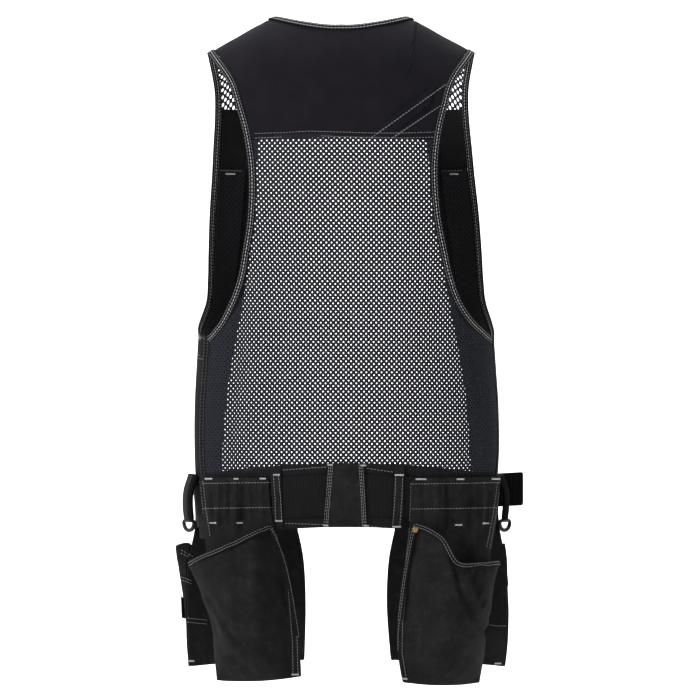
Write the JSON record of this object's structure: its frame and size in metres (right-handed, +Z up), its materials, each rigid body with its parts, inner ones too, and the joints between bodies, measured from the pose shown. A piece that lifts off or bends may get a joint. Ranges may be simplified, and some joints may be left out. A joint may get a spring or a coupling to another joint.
{
  "type": "utility work vest",
  "caption": "Sleeveless black tool vest with a net back, solid yoke, bound armholes, webbing belt and hanging tool pockets, shaped as worn.",
  "frame": {"origin": "middle of the neck opening at the height of the shoulders, between the two shoulder seams", "axes": "+Z up; the vest's back faces -Y and its open front +Y; +X is the wearer's right"},
  "size_m": [0.4146, 0.2863, 0.7804],
  "materials": {
    "yoke_cloth": "plain woven cloth, matt",
    "net_mesh": "knitted net, matt",
    "binding": "folded binding with light contrast stitching",
    "pocket_cloth": "heavy woven cloth, matt, with light contrast stitching",
    "webbing": "ribbed webbing",
    "plastic": "moulded, satin",
    "brass_rivet": "antique brass"
  },
  "bodies": {
    "root": {"armhole_binding_left": "binding", "armhole_binding_right": "binding", "back_net": "net_mesh", "back_yoke": "yoke_cloth", "belt_loop_left": "pocket_cloth", "belt_loop_right": "pocket_cloth", "belt_tail": "webbing", "belt_webbing": "webbing", "buckle": "plastic", "centre_patch": "pocket_cloth", "chest_band_left": "yoke_cloth", "chest_band_right": "yoke_cloth", "d_ring_left": "plastic", "d_ring_right": "plastic", "front_edge_left": "binding", "front_edge_right": "binding", "front_liner_left": "net_mesh", "front_liner_right": "net_mesh", "front_net_top_left": "net_mesh", "front_net_top_right": "net_mesh", "front_panel_left": "yoke_cloth", "front_panel_right": "yoke_cloth", "front_pocket_back_left": "pocket_cloth", "front_pocket_back_right": "pocket_cloth", "front_pouch_left": "pocket_cloth", "front_pouch_right": "pocket_cloth", "neck_binding": "binding", "pocket_rivet": "brass_rivet", "rear_pocket_back_left": "pocket_cloth", "rear_pocket_back_right": "pocket_cloth", "rear_pouch_left": "pocket_cloth", "rear_pouch_right": "pocket_cloth", "side_strap_left": "webbing", "side_strap_right": "webbing", "tool_flap_left": "pocket_cloth", "tool_pocket_left": "pocket_cloth", "waistband": "yoke_cloth", "yoke_tape": "binding"}
  },
  "joints": []
}
